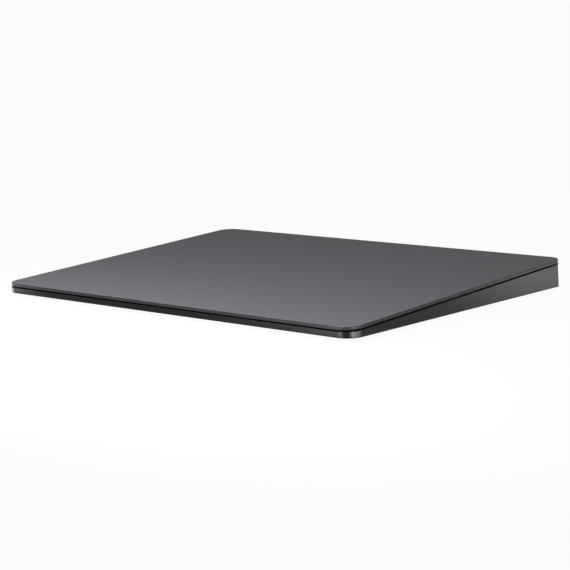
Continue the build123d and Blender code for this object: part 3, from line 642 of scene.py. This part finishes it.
class TRACKPAD_OT_case(bpy.types.Operator):
    """Model the wedge-shaped case wall with its rim, ledge, seat and rear openings"""

    bl_idname = "trackpad.case"
    bl_label = "Case"

    def execute(self, context):
        values = settings()
        raw = REAR_HEIGHT + OVERRUN - RIM_DEPTH
        shell = block("case_shell", (PAD_WIDTH, PAD_LENGTH, raw), (0, 0, -RIM_DEPTH - raw / 2))
        round_corners(shell, UP, values.corner_radius, CORNER_STEPS)
        bpy.ops.object.mode_set(mode="OBJECT")
        lay_on_slope(shell)
        bpy.ops.object.mode_set(mode="EDIT")
        bpy.ops.mesh.select_all(action="SELECT")
        bpy.ops.mesh.bisect(plane_co=(0, 0, STANDOFF), plane_no=UP, use_fill=True, clear_inner=True)
        bpy.ops.mesh.select_all(action="SELECT")
        bpy.ops.mesh.normals_make_consistent(inside=False)
        soften(shell, -UP, values.lower_edge, LOWER_EDGE_STEPS)
        soften(shell, NORMAL, values.rim_edge, RIM_STEPS)
        open_top(shell, values.rim_edge)
        open_underside(shell, values.lower_edge)
        join_openings(shell)
        bpy.ops.object.mode_set(mode="OBJECT")
        middle, width, height = port_opening()
        port = oval_block("port_cut", (width, CUT_LENGTH, height), (0, middle.y + CASE_WALL, middle.z))
        combine(shell, port, "DIFFERENCE")
        soften_mouth(shell, middle, width, height)
        bezel_width = BEZEL_WIDTH + 2 * BEZEL_GAP
        bezel_height = BEZEL_HEIGHT + 2 * BEZEL_GAP
        slot = oval_block("switch_cut", (bezel_width, CUT_LENGTH, bezel_height),
                          (SWITCH_X, PAD_LENGTH / 2, -SWITCH_DEPTH))
        lay_on_slope(slot)
        place = TOP_CENTRE + ALONG * PAD_LENGTH / 2 - NORMAL * SWITCH_DEPTH + RIGHT * SWITCH_X
        combine(shell, slot, "DIFFERENCE")
        soften_mouth(shell, place, bezel_width, bezel_height)
        complete(shell, "anodised_case", "case", "case_frame")
        return {"FINISHED"}


# Glass and feet

class TRACKPAD_OT_glass(bpy.types.Operator):
    """Model the glass sheet over the whole of the top, with its polished edge"""

    bl_idname = "trackpad.glass"
    bl_label = "Glass"

    def execute(self, context):
        values = settings()
        size = (PAD_WIDTH - 2 * GLASS_INSET, PAD_LENGTH - 2 * GLASS_INSET, GLASS_THICKNESS)
        sheet = block("glass_sheet", size, (0, 0, -GLASS_THICKNESS / 2))
        round_corners(sheet, UP, values.corner_radius - GLASS_INSET, CORNER_STEPS)
        soften(sheet, UP, values.glass_edge, GLASS_EDGE_STEPS)
        soften(sheet, -UP, GLASS_UNDER_EDGE, GLASS_UNDER_STEPS)
        bpy.ops.object.mode_set(mode="OBJECT")
        lay_on_slope(sheet)
        complete(sheet, "dark_glass", "touch_plate", "glass_top")
        # The rounded edge gets a far darker finish than the top, which is painted shade
        sheet.data.materials.append(bpy.data.materials["glass_edge"])
        # The upright side's dark finish is partly the clear side's own colour and partly painted shade
        sheet.data.materials.append(bpy.data.materials["glass_side"])
        for face in sheet.data.polygons:
            up = face.normal.dot(NORMAL)
            face.material_index = int(up < GLASS_SHADE_FROM) + int(up < GLASS_SIDE_FROM)
        return {"FINISHED"}


class TRACKPAD_OT_feet(bpy.types.Operator):
    """Model a dished rubber foot and set a copy of it in each recess"""

    bl_idname = "trackpad.feet"
    bl_label = "Feet"

    def execute(self, context):
        start_fresh()
        bpy.ops.mesh.primitive_cylinder_add(vertices=ROUND_STEPS, radius=FOOT_RADIUS, depth=FOOT_HEIGHT,
                                            location=(0, 0, FOOT_HEIGHT / 2))
        first = bpy.context.object
        settle(first)
        soften(first, -UP, settings().foot_edge, FOOT_EDGE_STEPS)
        pick(first, "FACE", facing(-UP))
        inset(FOOT_RING)
        inset(FOOT_DISH)
        bpy.ops.transform.translate(value=UP * FOOT_DISH)
        bpy.ops.object.mode_set(mode="OBJECT")
        middle = TOP_CENTRE.y + (TOP_CENTRE.z - STANDOFF) * SLOPE
        side = PAD_WIDTH / 2 - FOOT_SIDE_DISTANCE
        end = PAD_LENGTH / 2 - FOOT_END_DISTANCE
        for row, row_sign in (("front", -1), ("rear", 1)):
            for column, sign in (("left", -1), ("right", 1)):
                place = Vector((sign * side, middle + row_sign * end, 0))
                foot = copy_to(first, f"rubber_foot_{row}_{column}", place)
                complete(foot, "foot_rubber", "case", f"foot_{row}_{column}")
        bpy.data.meshes.remove(first.data)
        return {"FINISHED"}


# Soft parts under the pad

def make_cushions():
    """Round gel cushion on each spring."""
    start_fresh()
    bpy.ops.mesh.primitive_cylinder_add(vertices=ROUND_STEPS, radius=GEL_RADIUS, depth=GEL_THICKNESS)
    first = bpy.context.object
    soften(first, UP, GEL_EDGE, GEL_EDGE_STEPS)
    soften(first, -UP, GEL_EDGE, GEL_EDGE_STEPS)
    bpy.ops.object.mode_set(mode="OBJECT")
    first.rotation_euler = (TILT, 0, 0)
    settle(first)
    for corner in ("front_left", "front_right", "rear_left", "rear_right"):
        low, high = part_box(f"gel_pad_{corner}")
        middle = (low + high) / 2
        cushion = copy_to(first, f"gel_cushion_{corner}", middle)
        complete(cushion, "gel", "case", f"gel_pad_{corner}")
        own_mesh(cushion)
    bpy.data.meshes.remove(first.data)


def make_ribbon():
    """Folded ribbon between the main board and the pad."""
    ribbon = copy_to(frame["nodes"]["touch_cable"], "touch_ribbon", Vector((0, 0, 0)))
    pick(ribbon, "EDGE", lambda edge: True)
    bpy.ops.mesh.remove_doubles(threshold=RIBBON_MERGE)
    bpy.ops.object.mode_set(mode="OBJECT")
    complete(ribbon, "ribbon", None, "touch_cable")
    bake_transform(ribbon)


def make_gauge_ribbons():
    """Ribbon on each side that takes the front gauge's cable on to the underside of the main board."""
    half = FLAT_WIDTH / 2
    thin = FLAT_THICKNESS / 2
    for side, sign in (("left", -1), ("right", 1)):
        inward = RIGHT * -sign
        start, turn, entry, end = [Vector((sign * x, y, PLATE_TOP + thin)) for x, y in GAUGE_ROUTE]
        length = turn.y - half - start.y
        ribbon = block(f"gauge_ribbon_{side}", (FLAT_WIDTH, length, FLAT_THICKNESS),
                       start + AWAY * length / 2)
        pick(ribbon, "FACE", facing(AWAY))
        push(AWAY * FLAT_WIDTH)
        pick(ribbon, "FACE", facing_at(inward, turn + inward * half, half))
        push(inward * (abs(entry.x - turn.x) - FLAT_WIDTH))
        push(inward * FLAT_WIDTH)
        pick(ribbon, "FACE", facing_at(AWAY, entry + AWAY * half, half))
        push(AWAY * (end.y - entry.y - half - FLAT_THICKNESS))
        push(AWAY * FLAT_THICKNESS)
        pick(ribbon, "FACE", facing_at(UP, end - AWAY * thin + UP * thin, half))
        push(UP * (BOARD_UNDERSIDE - PLATE_TOP - FLAT_THICKNESS))
        bpy.ops.object.mode_set(mode="OBJECT")
        complete(ribbon, "ribbon", "case")


class TRACKPAD_OT_soft_parts(bpy.types.Operator):
    """Model the gel cushions under the pad and the ribbons between the gauges, the pad and the board"""

    bl_idname = "trackpad.soft_parts"
    bl_label = "Soft parts"

    def execute(self, context):
        make_cushions()
        make_ribbon()
        make_gauge_ribbons()
        return {"FINISHED"}


# Charging port

class TRACKPAD_OT_port(bpy.types.Operator):
    """Model the rolled oval shell of the charging port"""

    bl_idname = "trackpad.port"
    bl_label = "Charging port"

    def execute(self, context):
        low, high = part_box("port_shell")
        tube = oval_block("port_tube", tuple(high - low), (low + high) / 2)
        pick(tube, "FACE", lambda face: abs(face.normal.dot(AWAY)) > SAME_WAY)
        inset(PORT_WALL)
        bpy.ops.mesh.delete(type="FACE")
        join_openings(tube)
        soften(tube, AWAY, PORT_EDGE, PORT_EDGE_STEPS)
        complete(tube, "port_metal", "case", "port_shell")
        return {"FINISHED"}


# Power switch

def make_surround():
    """Plastic insert with an oval recess, a slot for the lever and a flange inside the wall."""
    depth = CASE_WALL - BEZEL_SET_BACK
    rear = PAD_LENGTH / 2 - BEZEL_SET_BACK
    insert = oval_block("switch_surround", (BEZEL_WIDTH, depth, BEZEL_HEIGHT),
                        (SWITCH_X, rear - depth / 2, -SWITCH_DEPTH))
    soften(insert, AWAY, BEZEL_EDGE, BEZEL_STEPS)
    pick(insert, "FACE", facing(AWAY))
    inset(RECESS_RIM - BEZEL_EDGE)
    push(-AWAY * (RECESS_DEPTH - BEZEL_SET_BACK))
    look = facing(AWAY)

    def inner_rim(edge):
        at_front = all(vert.co.y > rear - BEZEL_EDGE / 2 for vert in edge.verts)
        walls = [face for face in edge.link_faces if abs(face.normal.dot(AWAY)) < 1 - SAME_WAY]
        return at_front and len(walls) == 1 and any(look(face) for face in edge.link_faces)

    pick(insert, "EDGE", inner_rim)
    bevel(BEZEL_EDGE, BEZEL_STEPS)
    pick(insert, "FACE", facing(-AWAY))
    push((0, 0, 0))
    grow = (FLANGE_WIDTH / BEZEL_WIDTH, 1, FLANGE_HEIGHT / BEZEL_HEIGHT)
    bpy.ops.transform.resize(value=grow, center_override=(SWITCH_X, rear - depth, -SWITCH_DEPTH))
    push(-AWAY * FLANGE_THICKNESS)
    bpy.ops.object.mode_set(mode="OBJECT")
    slot = block("lever_cut", (SLOT_WIDTH, CUT_LENGTH, SLOT_HEIGHT),
                 (SWITCH_X, (PAD_LENGTH - CUT_LENGTH) / 2, -SWITCH_DEPTH))
    combine(insert, slot, "DIFFERENCE")
    lay_on_slope(insert)
    complete(insert, "switch_plastic", "case", "switch_bezel")


def make_slider():
    """Ribbed slider with rounded edges, and the lever that reaches through the slot."""
    x = SWITCH_X - SLIDER_SHIFT
    depth = SLIDER_FAR - SLIDER_NEAR
    slider = oval_block("switch_thumb", (SLIDER_WIDTH, depth, SLIDER_HEIGHT),
                        (x, PAD_LENGTH / 2 - SLIDER_NEAR - depth / 2, -SWITCH_DEPTH))
    soften(slider, AWAY, SLIDER_EDGE, SLIDER_STEPS)
    bpy.ops.object.mode_set(mode="OBJECT")
    for step in range(GROOVE_COUNT):
        groove_x = x + (step - (GROOVE_COUNT - 1) / 2) * 2 * GROOVE_WIDTH
        groove = block("groove_cut", (GROOVE_WIDTH, 2 * GROOVE_DEPTH, GROOVE_HEIGHT),
                       (groove_x, PAD_LENGTH / 2 - SLIDER_NEAR, -SWITCH_DEPTH))
        combine(slider, groove, "DIFFERENCE")
    reach = LEVER_REACH - SLIDER_FAR + GROOVE_DEPTH
    lever = block("lever", (LEVER_WIDTH, reach, LEVER_HEIGHT),
                  (x, PAD_LENGTH / 2 - LEVER_REACH + reach / 2, -SWITCH_DEPTH))
    combine(slider, lever, "UNION")
    lay_on_slope(slider)
    complete(slider, "switch_plastic", "power_slider", "switch_slider")


class TRACKPAD_OT_switch(bpy.types.Operator):
    """Model the power switch in the rear wall"""

    bl_idname = "trackpad.switch"
    bl_label = "Power switch"

    def execute(self, context):
        make_surround()
        make_slider()
        return {"FINISHED"}


# Stage

def mix_shaders(tree, share, first, second):
    """Mix of two shaders: the first where the share is 0, the second where it is 1."""
    mix = tree.nodes.new("ShaderNodeMixShader")
    for source, socket in zip((share, first, second), mix.inputs):
        tree.links.new(source, socket)
    return mix.outputs["Shader"]


def make_stage_finish():
    """White that camera, glossy and transmission rays see, with a share left for shadows.

    Its underside is clear, so that the part can be looked at from below.
    """
    material = bpy.data.materials.new("stage_white")
    material.use_nodes = True
    tree = material.node_tree
    tree.nodes.clear()
    rays = tree.nodes.new("ShaderNodeLightPath")
    total = rays.outputs["Is Camera Ray"]
    for name in ("Is Glossy Ray", "Is Transmission Ray"):
        either = tree.nodes.new("ShaderNodeMath")
        either.operation = "MAXIMUM"
        for source, socket in zip((total, rays.outputs[name]), either.inputs):
            tree.links.new(source, socket)
        total = either.outputs["Value"]
    share = tree.nodes.new("ShaderNodeMath")
    share.operation = "MULTIPLY"
    start, factor = share.inputs[:2]
    tree.links.new(total, start)
    factor.default_value = WHITE_SHARE
    paint = tree.nodes.new("ShaderNodeBsdfDiffuse")
    paint.inputs["Color"].default_value = (*settings().floor_colour, 1)
    glow = tree.nodes.new("ShaderNodeEmission")
    above = mix_shaders(tree, share.outputs["Value"], paint.outputs["BSDF"], glow.outputs["Emission"])
    side = tree.nodes.new("ShaderNodeNewGeometry")
    clear = tree.nodes.new("ShaderNodeBsdfTransparent")
    whole = mix_shaders(tree, side.outputs["Backfacing"], above, clear.outputs["BSDF"])
    output = tree.nodes.new("ShaderNodeOutputMaterial")
    tree.links.new(whole, output.inputs["Surface"])
    return material


def make_floor():
    """Round studio floor whose rim sweeps up into a low backdrop."""
    start_fresh()
    bpy.ops.mesh.primitive_circle_add(vertices=STAGE_STEPS, radius=STAGE_RADIUS, fill_type="NGON",
                                      location=(0, 0, -STAGE_DROP))
    floor = bpy.context.object
    floor.name = "studio_floor"
    pick(floor, "EDGE", lambda edge: edge.is_boundary)
    bpy.ops.mesh.extrude_region_move(TRANSFORM_OT_translate={"value": (0, 0, STAGE_HEIGHT)})
    pick(floor, "EDGE", lambda edge: len(edge.link_faces) == 2 and edge.calc_face_angle() > COVE_FOLD)
    bevel(STAGE_COVE, COVE_STEPS)
    bpy.ops.object.mode_set(mode="OBJECT")
    bpy.ops.object.shade_smooth_by_angle(angle=SMOOTH_ANGLE)
    floor.data.materials.append(make_stage_finish())


def make_lamp(name, place, aim, width, height, power):
    """One soft lamp, which the camera doesn't see."""
    lamp = bpy.data.lights.new(name, "AREA")
    lamp.shape = "RECTANGLE"
    lamp.size = width * MM
    lamp.size_y = height * MM
    lamp.energy = power
    holder = bpy.data.objects.new(name, lamp)
    bpy.context.scene.collection.objects.link(holder)
    holder.location = Vector(place) * MM
    holder.rotation_euler = (Vector(aim) - Vector(place)).to_track_quat("-Z", "Y").to_euler()
    holder.visible_camera = False
    return holder


def make_lamps():
    """Soft lamps above the pad, and strips whose light the floor doesn't hold back."""
    shades = bpy.data.collections.new("strip_shades")
    for obj in bpy.context.scene.objects:
        if obj.type == "MESH" and obj.name != "studio_floor":
            shades.objects.link(obj)
    for row in SOFT_LAMPS:
        make_lamp(*row)
    for row in STRIPS:
        make_lamp(*row).light_linking.blocker_collection = shades
    world = bpy.data.worlds.new("studio_world")
    world.use_nodes = True
    back = world.node_tree.nodes["Background"]
    back.inputs["Color"].default_value = (1, 1, 1, 1)
    back.inputs["Strength"].default_value = WORLD_LIGHT
    bpy.context.scene.world = world


def make_camera():
    """Camera at the photograph's viewing angle."""
    lens = bpy.data.cameras.new("photo_camera")
    lens.sensor_width = SENSOR_WIDTH
    lens.lens = FOCAL_PIXELS / IMAGE_PIXELS * SENSOR_WIDTH
    lens.clip_start = CLIP_START
    lens.shift_x = -HALF_PIXEL
    lens.shift_y = HALF_PIXEL
    camera = bpy.data.objects.new("photo_camera", lens)
    bpy.context.scene.collection.objects.link(camera)
    out = math.cos(CAMERA_ELEVATION)
    forward = Vector((-math.sin(CAMERA_AZIMUTH) * out, math.cos(CAMERA_AZIMUTH) * out,
                      -math.sin(CAMERA_ELEVATION)))
    level = forward.cross(UP).normalized()
    over = level.cross(forward)
    cosine = math.cos(CAMERA_ROLL)
    sine = math.sin(CAMERA_ROLL)
    turned = Matrix((level * cosine + over * sine, over * cosine - level * sine, -forward)).transposed()
    camera.matrix_world = Matrix.Translation(CAMERA_PLACE) @ turned.to_4x4()
    bpy.context.scene.camera = camera


class TRACKPAD_OT_stage(bpy.types.Operator):
    """Set the floor, the lamps and the camera"""

    bl_idname = "trackpad.stage"
    bl_label = "Stage"

    def execute(self, context):
        make_floor()
        make_lamps()
        make_camera()
        context.scene.view_settings.view_transform = "Standard"
        return {"FINISHED"}


# Values, panel and order of the build

class TrackpadSettings(bpy.types.PropertyGroup):
    """Sizes and colours that a user may change."""

    corner_radius: bpy.props.FloatProperty(
        name="Corner radius", description="Radius of the case's four corners, seen from above",
        default=5.4 * MM, unit="LENGTH", precision=5)
    lower_edge: bpy.props.FloatProperty(
        name="Lower edge", description="Width of the rounding along the case's lower edge",
        default=0.3 * MM, unit="LENGTH", precision=5)
    rim_edge: bpy.props.FloatProperty(
        name="Rim edge", description="Width of the rounding along the case's upper edge",
        default=0.12 * MM, unit="LENGTH", precision=5)
    glass_edge: bpy.props.FloatProperty(
        name="Glass edge", description="Width of the polished rounding round the glass",
        default=0.22 * MM, unit="LENGTH", precision=5)
    foot_edge: bpy.props.FloatProperty(
        name="Foot edge", description="Width of the rounding under each foot",
        default=0.3 * MM, unit="LENGTH", precision=5)
    case_colour: bpy.props.FloatVectorProperty(
        name="Case colour", description="Colour of the anodised metal",
        default=(0.0155, 0.0155, 0.017), subtype="COLOR")
    glass_colour: bpy.props.FloatVectorProperty(
        name="Glass colour", description="Colour of the glass's opaque backing",
        default=(0.128, 0.125, 0.139), subtype="COLOR")
    indicator_colour: bpy.props.FloatVectorProperty(
        name="Indicator colour", description="Colour that the power slider uncovers",
        default=(0.06, 0.5, 0.13), subtype="COLOR")
    floor_colour: bpy.props.FloatVectorProperty(
        name="Floor colour", description="Colour of the studio floor",
        default=(0.8, 0.8, 0.8), subtype="COLOR")


class TRACKPAD_PT_build(bpy.types.Panel):
    """Sidebar panel with the steps of the build in order"""

    bl_idname = "TRACKPAD_PT_build"
    bl_label = "Desk Trackpad"
    bl_space_type = "VIEW_3D"
    bl_region_type = "UI"
    bl_category = "Trackpad"

    def draw(self, context):
        values = context.scene.trackpad
        for name in TrackpadSettings.__annotations__:
            self.layout.prop(values, name)
        for step in STEPS:
            self.layout.operator(step.bl_idname)


STEPS = (
    TRACKPAD_OT_finishes,
    TRACKPAD_OT_case,
    TRACKPAD_OT_glass,
    TRACKPAD_OT_feet,
    TRACKPAD_OT_soft_parts,
    TRACKPAD_OT_port,
    TRACKPAD_OT_switch,
    TRACKPAD_OT_stage,
)
CLASSES = (TrackpadSettings, *STEPS, TRACKPAD_PT_build)


def register():
    """Add the classes and the settings."""
    for kind in CLASSES:
        bpy.utils.register_class(kind)
    bpy.types.Scene.trackpad = bpy.props.PointerProperty(type=TrackpadSettings)


def unregister():
    """Take the settings and the classes away again."""
    del bpy.types.Scene.trackpad
    for kind in reversed(CLASSES):
        bpy.utils.unregister_class(kind)


def main():
    """Run every step in order."""
    register()
    bpy.ops.trackpad.finishes()
    bpy.ops.trackpad.case()
    bpy.ops.trackpad.glass()
    bpy.ops.trackpad.feet()
    bpy.ops.trackpad.soft_parts()
    bpy.ops.trackpad.port()
    bpy.ops.trackpad.switch()
    bpy.ops.trackpad.stage()


if __name__ == "__main__":
    main()
